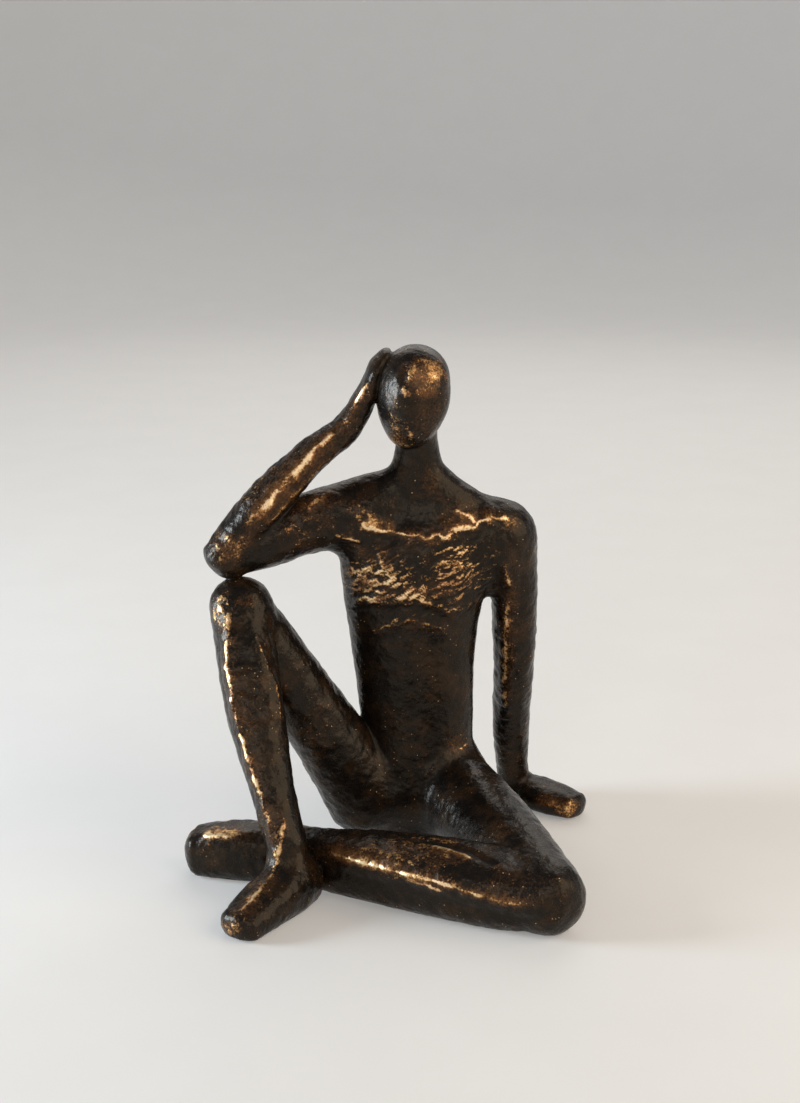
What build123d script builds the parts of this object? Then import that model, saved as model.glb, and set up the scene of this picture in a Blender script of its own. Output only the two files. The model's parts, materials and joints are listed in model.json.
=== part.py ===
# Seated thinking figure, a table ornament cast in resin as separate limbs, pinned and bonded.
# Millimetres, +Z up. The figure faces -Y, and its own right side is towards -X.
# The origin is on the table, under the middle of the figure's overall box.
import os
from math import cos, radians, sin

from build123d import *

# Fits between the pieces
bond_gap = 0.2  # adhesive line between two castings
pin_room = 0.1  # adhesive round a pin, on the radius
pin_end_room = 0.4  # adhesive past each end of a pin
pad_thickness = 1.0  # felt under the castings
ground_flat = 1.5  # depth ground off the underside of a leg
foot_flat = 2.5  # depth ground off the sole and the palm
ground_reach = 400.0  # side of the block that is ground away, wider than the figure
ground_depth = 100.0

# Torso, from the seat to the root of the neck: width, depth and middle of each section
seat_width = 46.0
seat_depth = 34.0
hip_width = 66.0
hip_depth = 50.0
hip_middle = (11.5, 41.5, 22.0)
belt_width = 62.0
belt_depth = 46.0
belt_middle = (12.0, 41.5, 40.0)
loin_width = 58.5
loin_depth = 39.0
loin_middle = (13.2, 40.5, 62.0)
waist_width = 60.5
waist_depth = 38.0
waist_middle = (12.2, 39.5, 83.0)
rib_width = 65.0
rib_depth = 42.0
rib_middle = (11.3, 39.5, 109.0)
breast_width = 72.5
breast_depth = 46.0
breast_middle = (11.8, 39.5, 133.0)
armpit_width = 81.0
armpit_depth = 44.0
armpit_middle = (15.7, 39.5, 157.0)
yoke_width = 70.0
yoke_depth = 34.0
yoke_middle = (19.8, 39.5, 172.0)
nape_width = 56.0
nape_depth = 27.5
nape_middle = (18.2, 40.0, 183.0)
neck_root_width = 40.0
neck_root_depth = 24.5
neck_root = (14.0, 39.5, 192.0)

# Neck and the smooth egg of the head, from the chin to the crown
neck_flare_width = 27.0
neck_flare_depth = 22.6
neck_flare = (13.2, 38.4, 199.0)
neck_width = 22.0
neck_depth = 21.6
neck_middle = (13.0, 37.3, 207.0)
skull_base_width = 20.4
skull_base_depth = 20.0
skull_base = (12.2, 35.5, 224.0)
head_middle = (10.8, 32.8, 234.6)
head_axis = (0.165, 0.146, 0.976)  # from the chin to the crown
head_length = 51.6
head_width = 35.0
head_depth = 42.0
head_taper = 0.18  # how much fuller the crown is than the chin

# Right leg: knee up, foot crossed in front of the left shin
right_hip = (-12.0, 34.5, 22.0)
right_knee = (-75.8, 18.0, 132.0)
right_ankle = (-50.0, -41.5, 28.0)
buttock_width = 45.0
buttock_depth = 41.0
buttock_round = 20.0
right_ham_width = 38.5
right_ham_depth = 38.5
right_thigh_width = 33.4
right_thigh_depth = 34.0
right_knee_root_width = 31.0
right_knee_root_depth = 30.0
right_thigh_end_width = 24.0
right_thigh_end_depth = 23.0
knee_width = 29.0
knee_depth = 29.6
knee_round = 14.0
right_calf_width = 28.6
right_calf_depth = 32.0
right_shin_width = 21.4
right_shin_depth = 24.0
right_ankle_width = 19.6
right_ankle_depth = 22.0
right_shin_bow = 2.5
right_heel = (-42.0, -39.0)
right_instep = (-49.0, -49.5)
right_ball = (-59.0, -62.0)
right_toes = (-70.0, -78.5)
right_heel_width = 20.5
right_heel_height = 22.0
right_heel_round = 6.0
right_instep_width = 25.0
right_instep_height = 25.0
right_ball_width = 26.0
right_ball_height = 21.0
right_toe_width = 22.0
right_toe_height = 15.0
right_toe_round = 6.0

# Left leg: folded flat on the table
left_hip = (26.5, 47.5, 25.0)
left_knee = (76.0, -72.0)
left_ankle = (-37.5, -22.5)
left_ham_width = 44.0
left_ham_height = 48.0
left_ham_round = 16.0
left_thigh_width = 42.0
left_thigh_bow = 2.0
left_thigh_height = 41.0
left_knee_width = 32.0
left_knee_height = 35.0
left_knee_round = 14.0
left_shin_top_height = 27.0
left_shin_top_depth = 23.0
left_shin_root_height = 33.5
left_shin_root_depth = 33.0
left_calf_height = 34.5
left_calf_depth = 38.0
left_shin_height = 31.0
left_shin_depth = 31.5
left_ankle_height = 28.0
left_ankle_depth = 26.0
left_instep = (-56.0, -17.5)
left_ball = (-80.0, -12.5)
left_toes = (-95.0, -9.5)
left_instep_height = 28.0
left_instep_depth = 27.0
left_ball_height = 27.0
left_ball_depth = 28.0
left_toe_height = 23.5
left_toe_depth = 25.0
left_toe_round = 10.0

# Right arm: elbow on the knee, palm on the temple
right_arm_root = (3.0, 39.5, 169.0)
right_shoulder = (-19.5, 37.0, 175.0)
right_wrist = (-20.0, 31.5, 221.5)
arm_root_width = 19.0
arm_root_depth = 18.0
right_shoulder_width = 31.0
right_shoulder_depth = 29.0
right_biceps_width = 31.0
right_biceps_depth = 28.0
right_arm_bow = 2.5
right_arm_width = 25.2
right_arm_depth = 24.0
right_arm_end_width = 17.0
right_arm_end_depth = 16.0
elbow_width = 22.5
elbow_depth = 23.5
elbow_round = 9.0
elbow_seat = 1.5  # how far the elbow beds into the knee
elbow_offset = (-6.8, 2.5)  # from the middle of the knee, seen from above
right_forearm_width = 22.2
right_forearm_depth = 25.0
right_forearm_bow = 4.0
right_wrist_width = 14.2
right_wrist_depth = 17.0
palm_thickness = 10.0
palm_width = 23.0
palm_seat = 1.0  # how far the palm beds into the temple
temple_rise = 6.0  # from the middle of the head up to the palm
finger_reach = (3.4, 1.0, 9.6)  # from the middle of the palm
finger_thickness = 8.0
finger_width = 21.0
fingertip_round = 6.0

# Left arm: straight down behind the hip, hand flat on the table
left_arm_root = (34.0, 40.5, 166.0)
left_shoulder = (57.8, 42.5, 160.0)
left_elbow = (63.8, 49.0, 103.0)
left_wrist = (64.6, 70.5, 38.0)
left_arm_root_depth = 20.0
left_shoulder_width = 33.0
left_shoulder_depth = 31.0
left_biceps_width = 26.0
left_arm_bow = 2.0
left_biceps_depth = 28.0
left_elbow_width = 22.0
left_elbow_depth = 24.0
left_wrist_width = 18.6
left_wrist_depth = 19.6
left_hand_root_width = 16.0
left_hand_root_depth = 17.0
left_heel_of_hand = (67.0, 78.0)
left_palm = (77.0, 71.5)
left_knuckles = (89.0, 62.5)
left_fingertips = (98.0, 55.5)
left_hand_heel_width = 19.0
left_hand_heel_height = 16.0
left_palm_width = 26.0
left_palm_height = 16.5
left_knuckle_height = 15.5
left_fingertip_width = 19.5
left_fingertip_height = 14.5
left_hand_round = 5.0

# Steel pins inside the bonds, and the felt pads
limb_pin_diameter = 5.0
limb_pin_length = 26.0
neck_pin_diameter = 4.0
neck_pin_length = 20.0
contact_pin_diameter = 2.5
contact_pin_length = 9.0
pin_chamfer = 0.3
seat_pad_width = 40.0
seat_pad_depth = 28.0
leg_pad_diameter = 9.0
foot_pad_diameter = 11.0
hand_pad_diameter = 11.0

across = Vector(1, 0, 0)
upright = Vector(0, 0, 1)
ring_spacing = 9.0  # most room between the sections of a limb
dome_spacing = 0.8  # the same, as a share of the limb's shorter rounded end
dome_turns = (30, 55, 76)  # degrees at which a rounded end is sectioned


def between(start, end, share, bow=0.0, way=(0, 0, 1)):
    # Point part of the way along a bone that is bowed towards way.
    straight = Vector(*start) + (Vector(*end) - Vector(*start)) * share
    return straight + Vector(*way) * (4 * bow * share * (1 - share))


def mean(first, second, share=0.5):
    return first + (second - first) * share


def lying(middle, height, flat):
    # Middle of a section of this height whose underside is ground flat on the pads.
    spot = Vector(*middle)
    return Vector(spot.X, spot.Y, pad_thickness + height / 2 - flat)


def ring_rows(sections, spacing):
    # Closely spaced sections on a smooth line through the given ones: x, y, z, width, depth.
    rows = [(*Vector(*middle), width, depth) for middle, width, depth in sections]
    spans = [(Vector(*b[:3]) - Vector(*a[:3])).length for a, b in zip(rows, rows[1:])]
    rates = [[(q - p) / span for p, q in zip(a, b)] for a, b, span in zip(rows, rows[1:], spans)]
    slopes = [rates[0]]
    for (before, after), (first, second) in zip(zip(rates, rates[1:]), zip(spans, spans[1:])):
        slopes.append([(p * second + q * first) / (first + second) for p, q in zip(before, after)])
    slopes.append(rates[-1])
    rings = []
    for index, span in enumerate(spans):
        steps = max(1, round(span / spacing))
        for step in range(steps):
            t = step / steps
            start = (1 + 2 * t) * (1 - t) ** 2
            leave = t * (1 - t) ** 2 * span
            arrive = t * t * (t - 1) * span
            rings.append([start * p + (1 - start) * q + leave * u + arrive * v for p, q, u, v in
                          zip(rows[index], rows[index + 1], slopes[index], slopes[index + 1])])
    return rings + [list(rows[-1])]


def limb(sections, side, start_round=0.0, end_round=0.0, growth=0.0, level=False):
    # Smooth limb through ellipses, each given as its middle, width and depth.
    # A rounded end closes in a dome of the given length. Level sections all lie flat.
    domes = [length for length in (start_round, end_round) if length]
    rows = ring_rows(sections, min([ring_spacing] + [dome_spacing * length for length in domes]))
    middles = [Vector(*row[:3]) for row in rows]
    last = len(rows) - 1
    rings = []
    for index, row in enumerate(rows):
        way = (middles[min(index + 1, last)] - middles[max(index - 1, 0)]).normalized()
        rings.append((middles[index], upright if level else way, row[3] / 2 + growth, row[4] / 2 + growth))
    for end, length, sense in ((0, start_round, -1), (-1, end_round, 1)):
        middle, way, half_width, half_depth = rings[end]
        for turn in dome_turns if length else ():
            reach = way * (sense * (length + growth) * sin(radians(turn)))
            ring = (middle + reach, way, half_width * cos(radians(turn)), half_depth * cos(radians(turn)))
            rings.insert(0 if sense < 0 else len(rings), ring)
    with BuildPart() as form:
        for middle, way, half_width, half_depth in rings:
            with BuildSketch(Plane(origin=middle, x_dir=side - way * side.dot(way), z_dir=way)):
                Ellipse(half_width, half_depth)
        loft()
    return form.part


def rod(middle, way, diameter, length):
    # Round bar centred on a point, for a pin or the hole that takes it.
    with BuildPart() as form:
        with BuildSketch(Plane(origin=middle, z_dir=way)):
            Circle(diameter / 2)
        extrude(amount=length / 2, both=True)
    return form.part


# Torso form: level sections, so that the seat and the neck joint are flat
torso_sections = [
    ((hip_middle[0], hip_middle[1], pad_thickness), seat_width, seat_depth),
    (hip_middle, hip_width, hip_depth),
    (belt_middle, belt_width, belt_depth),
    (loin_middle, loin_width, loin_depth),
    (waist_middle, waist_width, waist_depth),
    (rib_middle, rib_width, rib_depth),
    (breast_middle, breast_width, breast_depth),
    (armpit_middle, armpit_width, armpit_depth),
    (yoke_middle, yoke_width, yoke_depth),
    (nape_middle, nape_width, nape_depth),
    (neck_root, neck_root_width, neck_root_depth),
]


def torso_form(growth=0.0):
    return limb(torso_sections, across, growth=growth, level=True)


# Head form: an egg on the tilted axis of the head, and the neck that rises into it
egg_turns = range(-84, 85, 12)  # degrees from the middle of the egg to each section


def egg_form(growth=0.0):
    way = Vector(*head_axis).normalized()
    with BuildPart() as form:
        for turn in egg_turns:
            rise = sin(radians(turn))
            girth = cos(radians(turn)) * (1 + head_taper * rise)
            middle = Vector(*head_middle) + way * (rise * (head_length / 2 + growth))
            with BuildSketch(Plane(origin=middle, x_dir=across - way * across.dot(way), z_dir=way)):
                Ellipse(girth * (head_width / 2 + growth), girth * (head_depth / 2 + growth))
        loft()
    return form.part


neck_sections = [
    (neck_root, neck_root_width, neck_root_depth),
    (neck_flare, neck_flare_width, neck_flare_depth),
    (neck_middle, neck_width, neck_depth),
    (skull_base, skull_base_width, skull_base_depth),
]


# Right leg forms
right_thigh_sections = [
    (right_hip, buttock_width, buttock_depth),
    (between(right_hip, right_knee, 0.28), right_ham_width, right_ham_depth),
    (between(right_hip, right_knee, 0.64), right_thigh_width, right_thigh_depth),
    (between(right_hip, right_knee, 0.86), right_knee_root_width, right_knee_root_depth),
    (between(right_hip, right_knee, 0.98), right_thigh_end_width, right_thigh_end_depth),
]
right_thigh_side = Vector(0.8, 0, 0.6)


def right_thigh_form(growth=0.0):
    return limb(right_thigh_sections, right_thigh_side, start_round=buttock_round, growth=growth)


def right_shin_middle(share):
    return between(right_knee, right_ankle, share, right_shin_bow, (-0.95, 0.3, 0))


right_calf_middle = right_shin_middle(0.46)
right_shin_sections = [
    (right_knee, knee_width, knee_depth),
    (right_calf_middle, right_calf_width, right_calf_depth),
    (right_shin_middle(0.78), right_shin_width, right_shin_depth),
    (right_ankle, right_ankle_width, right_ankle_depth),
]
right_foot_sections = [
    (lying(right_heel, right_heel_height, foot_flat), right_heel_width, right_heel_height),
    (lying(right_instep, right_instep_height, foot_flat), right_instep_width, right_instep_height),
    (lying(right_ball, right_ball_height, foot_flat), right_ball_width, right_ball_height),
    (lying(right_toes, right_toe_height, foot_flat), right_toe_width, right_toe_height),
]
right_foot_side = Vector(0.88, -0.47, 0)


def right_shin_form(growth=0.0):
    return limb(right_shin_sections, across, knee_round, right_ankle_depth / 3, growth)


def right_foot_form(growth=0.0):
    return limb(right_foot_sections, right_foot_side, right_heel_round, right_toe_round, growth)


# Left leg forms
left_knee_middle = lying(left_knee, left_knee_height, ground_flat)
left_ankle_middle = lying(left_ankle, left_ankle_height, ground_flat)
left_thigh_side = Vector(0.93, 0.37, 0)
left_thigh_sections = [
    (left_hip, left_ham_width, left_ham_height),
    (between(left_hip, left_knee_middle, 0.48, left_thigh_bow, left_thigh_side), left_thigh_width, left_thigh_height),
    (left_knee_middle, left_knee_width, left_knee_height),
]
left_shin_root_middle = lying(between(left_knee, left_ankle, 0.14), left_shin_root_height, ground_flat)
left_calf_middle = lying(between(left_knee, left_ankle, 0.32), left_calf_height, ground_flat)
left_shin_middle = lying(between(left_knee, left_ankle, 0.78), left_shin_height, ground_flat)
left_toe_middle = lying(left_toes, left_toe_height, ground_flat)
left_shin_sections = [
    (left_knee_middle, left_shin_top_height, left_shin_top_depth),
    (left_shin_root_middle, left_shin_root_height, left_shin_root_depth),
    (left_calf_middle, left_calf_height, left_calf_depth),
    (left_shin_middle, left_shin_height, left_shin_depth),
    (left_ankle_middle, left_ankle_height, left_ankle_depth),
    (lying(left_instep, left_instep_height, ground_flat), left_instep_height, left_instep_depth),
    (lying(left_ball, left_ball_height, ground_flat), left_ball_height, left_ball_depth),
    (left_toe_middle, left_toe_height, left_toe_depth),
]


def left_thigh_form(growth=0.0):
    return limb(left_thigh_sections, left_thigh_side, left_ham_round, left_knee_round, growth)


# Right arm forms: the elbow stands on the knee, and the palm lies on the temple
elbow_rise = knee_round + elbow_width / 2 - elbow_seat
right_elbow = Vector(*right_knee) + Vector(*elbow_offset, elbow_rise)
palm_reach = head_width / 2 + palm_thickness / 2 - palm_seat
temple = Vector(*head_middle) + Vector(*head_axis) * temple_rise
palm_middle = temple - across * palm_reach
finger_middle = palm_middle + Vector(*finger_reach)
hand_root = between(right_wrist, palm_middle, 0.5, 0.5, (0.95, 0, -0.3))
right_upper_arm_sections = [
    (right_arm_root, arm_root_width, arm_root_depth),
    (right_shoulder, right_shoulder_width, right_shoulder_depth),
    (between(right_shoulder, right_elbow, 0.33, right_arm_bow), right_biceps_width, right_biceps_depth),
    (between(right_shoulder, right_elbow, 0.72), right_arm_width, right_arm_depth),
    (between(right_shoulder, right_elbow, 0.98), right_arm_end_width, right_arm_end_depth),
]


def right_forearm_middle(share):
    return between(right_elbow, right_wrist, share, right_forearm_bow, (-0.69, 0, 0.72))


right_forearm_sections = [
    (right_elbow, elbow_width, elbow_depth),
    (right_forearm_middle(0.33), right_forearm_width, right_forearm_depth),
    (right_forearm_middle(0.72), mean(right_forearm_width, right_wrist_width, 0.6),
     mean(right_forearm_depth, right_wrist_depth, 0.55)),
    (right_wrist, right_wrist_width, right_wrist_depth),
    (hand_root, mean(right_wrist_width, palm_thickness), mean(right_wrist_depth, palm_width, 0.4)),
    (palm_middle, palm_thickness, palm_width),
    (finger_middle, finger_thickness, finger_width),
]
right_forearm_side = Vector(0.7, 0, -0.7)


def right_forearm_form(growth=0.0):
    return limb(right_forearm_sections, right_forearm_side, elbow_round, fingertip_round, growth)


# Left arm and hand forms
left_arm_sections = [
    (left_arm_root, arm_root_width, left_arm_root_depth),
    (left_shoulder, left_shoulder_width, left_shoulder_depth),
    (between(left_shoulder, left_elbow, 0.36, left_arm_bow, (1, 0, 0)), left_biceps_width, left_biceps_depth),
    (left_elbow, left_elbow_width, left_elbow_depth),
    (left_wrist, left_wrist_width, left_wrist_depth),
    (lying(left_heel_of_hand, left_hand_heel_height, foot_flat), left_hand_root_width, left_hand_root_depth),
]
left_hand_sections = [
    (lying(left_heel_of_hand, left_hand_heel_height, foot_flat), left_hand_heel_width, left_hand_heel_height),
    (lying(left_palm, left_palm_height, foot_flat), left_palm_width, left_palm_height),
    (lying(left_knuckles, left_knuckle_height, foot_flat), left_palm_width, left_knuckle_height),
    (lying(left_fingertips, left_fingertip_height, foot_flat), left_fingertip_width, left_fingertip_height),
]
left_hand_side = Vector(0.58, 0.81, 0)

# Everything below the tops of the pads is ground away
ground_align = (Align.CENTER, Align.CENTER, Align.MAX)
ground = Box(ground_reach, ground_reach, ground_depth, align=ground_align, mode=Mode.PRIVATE)
ground = ground.moved(Location((0, 0, pad_thickness)))

# Pins: where each one lies and the way it runs
seat_middle = Vector(hip_middle[0], hip_middle[1], 0)
neck_pin_at = Vector(*neck_root)
right_shoulder_pin_at = between(right_shoulder, right_elbow, 0.04)
right_shoulder_pin_way = (right_elbow - Vector(*right_arm_root)).normalized()
left_shoulder_pin_at = mean(Vector(*left_arm_root), Vector(*left_shoulder), 0.75)
left_shoulder_pin_way = Vector(1, 0, -0.25).normalized()
right_elbow_pin_at = between(right_shoulder, right_elbow, 0.85)
right_elbow_pin_way = (right_elbow - Vector(*right_shoulder)).normalized()
right_hip_pin_at = between(right_hip, right_knee, 0.1)
left_hip_pin_at = between(left_hip, left_knee_middle, 0.18)
right_knee_pin_at = between(right_hip, right_knee, 0.89)
right_thigh_way = (Vector(*right_knee) - Vector(*right_hip)).normalized()
left_thigh_way = (left_knee_middle - Vector(*left_hip)).normalized()
left_knee_pin_at = between(left_knee_middle, left_ankle_middle, 0.13)
left_shin_way = (left_ankle_middle - left_knee_middle).normalized()
elbow_rest_way = (right_elbow - Vector(*right_knee)).normalized()
elbow_rest_at = right_elbow - elbow_rest_way * (elbow_width / 2)
palm_rest_at = palm_middle + across * (palm_thickness / 2 - palm_seat)

pins = {
    "neck_pin": (neck_pin_at, upright, neck_pin_diameter, neck_pin_length),
    "right_shoulder_pin": (right_shoulder_pin_at, right_shoulder_pin_way, limb_pin_diameter, limb_pin_length),
    "left_shoulder_pin": (left_shoulder_pin_at, left_shoulder_pin_way, limb_pin_diameter, limb_pin_length),
    "right_elbow_pin": (right_elbow_pin_at, right_elbow_pin_way, neck_pin_diameter, neck_pin_length),
    "right_hip_pin": (right_hip_pin_at, right_thigh_way, limb_pin_diameter, limb_pin_length),
    "left_hip_pin": (left_hip_pin_at, left_thigh_way, limb_pin_diameter, limb_pin_length),
    "right_knee_pin": (right_knee_pin_at, right_thigh_way, neck_pin_diameter, neck_pin_length),
    "left_knee_pin": (left_knee_pin_at, left_shin_way, limb_pin_diameter, limb_pin_length),
    "elbow_rest_pin": (elbow_rest_at, elbow_rest_way, contact_pin_diameter, contact_pin_length),
    "palm_rest_pin": (palm_rest_at, across, contact_pin_diameter, contact_pin_length),
}


def pin_hole(name):
    middle, way, diameter, length = pins[name]
    return rod(middle, way, diameter + 2 * pin_room, length + 2 * pin_end_room)


os.makedirs("parts", exist_ok=True)


def save(builder, name):
    builder.part.label = name
    export_step(builder.part, f"parts/{name}.step")


# Castings
with BuildPart() as torso:
    add(torso_form())
    for hole in ("neck_pin", "right_shoulder_pin", "left_shoulder_pin", "right_hip_pin", "left_hip_pin"):
        add(pin_hole(hole), mode=Mode.SUBTRACT)
save(torso, "torso")

with BuildPart() as head:
    add(limb(neck_sections, across, level=True))
    add(egg_form())
    for hole in ("neck_pin", "palm_rest_pin"):
        add(pin_hole(hole), mode=Mode.SUBTRACT)
save(head, "head")

with BuildPart() as right_upper_arm:
    add(limb(right_upper_arm_sections, Vector(0.4, 0, 0.9)))
    add(torso_form(bond_gap), mode=Mode.SUBTRACT)
    add(right_forearm_form(bond_gap), mode=Mode.SUBTRACT)
    for hole in ("right_shoulder_pin", "right_elbow_pin"):
        add(pin_hole(hole), mode=Mode.SUBTRACT)
save(right_upper_arm, "right_upper_arm")

with BuildPart() as right_forearm:
    add(right_forearm_form())
    add(egg_form(bond_gap), mode=Mode.SUBTRACT)
    for hole in ("right_elbow_pin", "elbow_rest_pin", "palm_rest_pin"):
        add(pin_hole(hole), mode=Mode.SUBTRACT)
save(right_forearm, "right_forearm")

with BuildPart() as left_arm:
    add(limb(left_arm_sections, across))
    add(limb(left_hand_sections, left_hand_side, left_hand_round, left_hand_round))
    add(torso_form(bond_gap), mode=Mode.SUBTRACT)
    add(ground, mode=Mode.SUBTRACT)
    add(pin_hole("left_shoulder_pin"), mode=Mode.SUBTRACT)
save(left_arm, "left_arm")

with BuildPart() as right_thigh:
    add(right_thigh_form())
    add(torso_form(bond_gap), mode=Mode.SUBTRACT)
    add(right_shin_form(bond_gap), mode=Mode.SUBTRACT)
    add(ground, mode=Mode.SUBTRACT)
    for hole in ("right_hip_pin", "right_knee_pin"):
        add(pin_hole(hole), mode=Mode.SUBTRACT)
save(right_thigh, "right_thigh")

with BuildPart() as right_lower_leg:
    add(right_shin_form())
    add(right_foot_form())
    add(right_forearm_form(bond_gap), mode=Mode.SUBTRACT)
    add(ground, mode=Mode.SUBTRACT)
    for hole in ("right_knee_pin", "elbow_rest_pin"):
        add(pin_hole(hole), mode=Mode.SUBTRACT)
save(right_lower_leg, "right_lower_leg")

with BuildPart() as left_thigh:
    add(left_thigh_form())
    add(torso_form(bond_gap), mode=Mode.SUBTRACT)
    add(right_thigh_form(bond_gap), mode=Mode.SUBTRACT)
    add(ground, mode=Mode.SUBTRACT)
    for hole in ("left_hip_pin", "left_knee_pin"):
        add(pin_hole(hole), mode=Mode.SUBTRACT)
save(left_thigh, "left_thigh")

with BuildPart() as left_lower_leg:
    add(limb(left_shin_sections, upright, end_round=left_toe_round))
    add(left_thigh_form(bond_gap), mode=Mode.SUBTRACT)
    add(right_shin_form(bond_gap), mode=Mode.SUBTRACT)
    add(right_foot_form(bond_gap), mode=Mode.SUBTRACT)
    add(ground, mode=Mode.SUBTRACT)
    add(pin_hole("left_knee_pin"), mode=Mode.SUBTRACT)
save(left_lower_leg, "left_lower_leg")

# Steel pins
for name, (middle, way, diameter, length) in pins.items():
    with BuildPart() as pin:
        add(rod(middle, way, diameter, length))
        chamfer(pin.edges().filter_by(GeomType.CIRCLE), pin_chamfer)
    save(pin, name)

# Felt pads, from the table up to the ground faces
with BuildPart() as seat_pad:
    with BuildSketch(Plane(origin=seat_middle)):
        Ellipse(seat_pad_width / 2, seat_pad_depth / 2)
    extrude(amount=pad_thickness)
save(seat_pad, "seat_pad")

round_pads = {
    "right_foot_pad": (right_ball, foot_pad_diameter),
    "left_knee_pad": (left_knee, leg_pad_diameter),
    "left_foot_pad": (left_ball, leg_pad_diameter),
    "left_hand_pad": (left_palm, hand_pad_diameter),
}
for name, (middle, diameter) in round_pads.items():
    with BuildPart() as pad:
        with BuildSketch(Plane(origin=(middle[0], middle[1], 0))):
            Circle(diameter / 2)
        extrude(amount=pad_thickness)
    save(pad, name)
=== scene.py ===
# Seated thinking figure with a dark bronze finish: its looks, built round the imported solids.
# Shapes are worked out in millimetres, in the solids' own frame: the figure faces -Y, +Z is up.
import json
import math

import bpy
import numpy as np
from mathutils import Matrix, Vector

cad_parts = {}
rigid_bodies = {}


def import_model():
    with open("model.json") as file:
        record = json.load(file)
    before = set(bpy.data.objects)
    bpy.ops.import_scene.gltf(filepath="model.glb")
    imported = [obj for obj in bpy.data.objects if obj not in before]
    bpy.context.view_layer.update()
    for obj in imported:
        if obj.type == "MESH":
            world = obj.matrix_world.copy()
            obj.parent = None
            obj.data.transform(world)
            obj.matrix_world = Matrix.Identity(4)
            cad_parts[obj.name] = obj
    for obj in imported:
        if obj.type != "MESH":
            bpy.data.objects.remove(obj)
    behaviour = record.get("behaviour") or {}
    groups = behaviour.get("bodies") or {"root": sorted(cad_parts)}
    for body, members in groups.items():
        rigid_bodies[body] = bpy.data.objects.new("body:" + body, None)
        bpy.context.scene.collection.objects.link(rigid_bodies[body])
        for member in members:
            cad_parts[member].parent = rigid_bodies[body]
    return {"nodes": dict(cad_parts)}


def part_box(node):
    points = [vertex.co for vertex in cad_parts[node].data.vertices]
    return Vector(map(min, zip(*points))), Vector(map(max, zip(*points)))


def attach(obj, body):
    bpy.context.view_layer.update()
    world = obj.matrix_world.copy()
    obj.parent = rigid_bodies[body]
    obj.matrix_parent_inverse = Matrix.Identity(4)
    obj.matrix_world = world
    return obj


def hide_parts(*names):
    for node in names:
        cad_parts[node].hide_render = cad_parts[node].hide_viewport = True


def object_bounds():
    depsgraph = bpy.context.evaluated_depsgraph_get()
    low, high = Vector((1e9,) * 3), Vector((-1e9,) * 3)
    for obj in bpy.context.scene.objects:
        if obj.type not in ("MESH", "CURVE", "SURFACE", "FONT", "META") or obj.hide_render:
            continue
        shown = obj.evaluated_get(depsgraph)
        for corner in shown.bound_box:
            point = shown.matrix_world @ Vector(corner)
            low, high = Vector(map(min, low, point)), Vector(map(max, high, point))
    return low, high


for leftover in list(bpy.data.objects):
    bpy.data.objects.remove(leftover)
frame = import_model()
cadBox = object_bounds()
print("frame loaded,", len(frame["nodes"]), "nodes")

mm = 0.001
boxLow, boxHigh = (np.array(corner) / mm for corner in cadBox)
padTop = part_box("seat_pad")[1].z / mm  # the castings stand on the felt


# Limbs: each is a smooth row of elliptic sections, given as middle, width and depth
def along(start, end, share, bow=0.0, way=(0, 0, 1)):
    start = np.array(start, float)
    straight = start + (np.array(end, float) - start) * share
    return straight + np.array(way) * (4 * bow * share * (1 - share))


def lying(middle, height, flat):
    return (middle[0], middle[1], padTop + height / 2 - flat)


def section(middle, width, depth):
    return (*middle, width / 2, depth / 2)


soleFlat, legFlat = 2.5, 1.5  # how much of foot and hand, and of the folded leg, is ground off


def soleSection(middle, height, width):
    return section(lying(middle, height, soleFlat), width, height)


def legSection(middle, height, depth):
    return section(lying(middle, height, legFlat), height, depth)


limbs = {}

neckFoot = 192.0  # the neck above this belongs to the head's casting
skullBase = (12.2, 35.5, 224)
limbs["torso"] = dict(
    node="torso", side=(1, 0, 0), domes=(4, 4), level=True,
    rows=[
        section((11.5, 41.5, padTop), 46, 34),
        section((11.5, 41.5, 22), 66, 50),
        section((12, 41.5, 40), 62, 46),
        section((13.2, 40.5, 62), 58.5, 39),
        section((12.2, 39.5, 83), 60.5, 38),
        section((11.3, 39.5, 109), 65, 42),
        section((11.8, 39.5, 133), 72.5, 46),
        section((15.7, 39.5, 157), 81, 44),
        section((19.8, 39.5, 172), 70, 34),
        section((18.2, 40, 183), 56, 27.5),
        section((14, 39.5, neckFoot), 40, 24.5),
        section((13.2, 38.4, 199), 27, 22.6),
        section((13, 37.3, 207), 22, 21.6),
        section(skullBase, 20.4, 20),
    ])

# The head is a smooth egg, turned a little towards the raised hand
head = dict(
    middle=np.array((10.8, 32.8, 234.6)), axis=np.array((0.165, 0.146, 0.976)), reach=30.0,
    length=51.6, width=35.0, depth=42.0, taper=0.18, taperEnd=1.2, turn=17.0, keel=0.10)

rightHip = (-12, 34.5, 22)
rightKnee = (-75.8, 18, 132)
rightAnkle = (-50, -41.5, 28)
limbs["rightThigh"] = dict(
    node="right_thigh", side=(0.8, 0, 0.6), domes=(20, 6),
    rows=[
        section(rightHip, 45, 41),
        section(along(rightHip, rightKnee, 0.28), 38.5, 38.5),
        section(along(rightHip, rightKnee, 0.64), 33.4, 34),
        section(along(rightHip, rightKnee, 0.86), 31, 30),
        section(along(rightHip, rightKnee, 0.98), 27, 26),
    ])
shinBow = dict(bow=2.5, way=(-0.95, 0.3, 0))
limbs["rightShin"] = dict(
    node="right_lower_leg", side=(1, 0, 0), domes=(14, 7.3), square=(2.35, 2.5),
    rows=[
        section(rightKnee, 29, 29.6),
        section(along(rightKnee, rightAnkle, 0.46, **shinBow), 28.6, 32),
        section(along(rightKnee, rightAnkle, 0.78, **shinBow), 21.4, 24),
        section(rightAnkle, 19.6, 22),
    ])
rightInstep = (-49, -49.5)
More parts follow.
